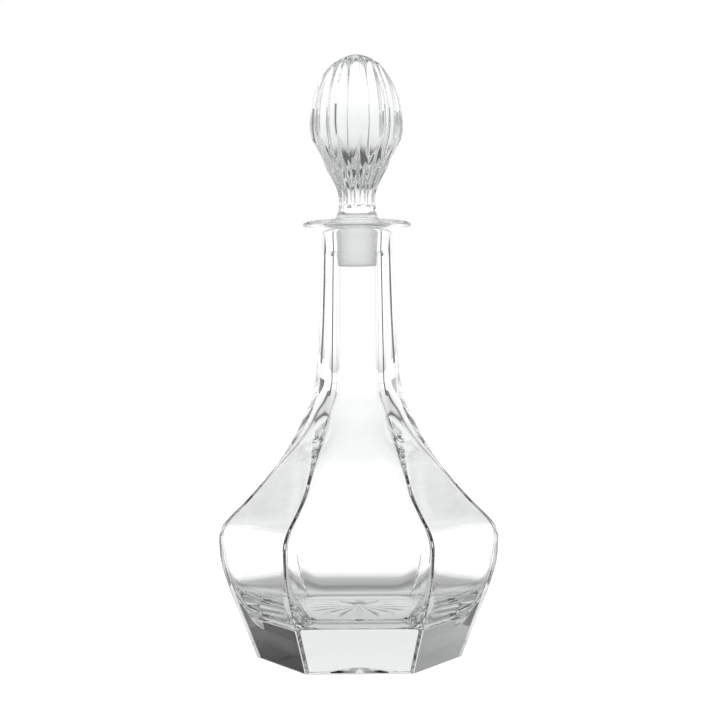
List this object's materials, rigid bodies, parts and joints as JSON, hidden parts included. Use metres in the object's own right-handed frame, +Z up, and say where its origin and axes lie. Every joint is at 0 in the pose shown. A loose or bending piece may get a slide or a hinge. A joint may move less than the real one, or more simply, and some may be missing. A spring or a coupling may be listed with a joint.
{
  "type": "decanter",
  "caption": "Clear cut-glass decanter: six-sided body with a heavy star-cut base, long round neck and a fluted egg-shaped stopper that lifts out.",
  "frame": {"origin": "on the table under the middle of the base", "axes": "+Z up along the neck and stopper; -Y out of a flat side of the body; +X and -X out of two ribs"},
  "size_m": [0.1532, 0.133, 0.33],
  "materials": {
    "body_glass": "clear polished crystal, fire-polished inside",
    "stopper_glass": "clear polished crystal, the plug ground matt"
  },
  "bodies": {
    "bottle": {"decanter_body": "body_glass"},
    "stopper": {"stopper": "stopper_glass"}
  },
  "joints": [
    {"name": "stopper_lift", "type": "slide", "parent": "bottle", "child": "stopper", "axis": [0, 0, 1], "range_m": [0, 0.06]}
  ]
}
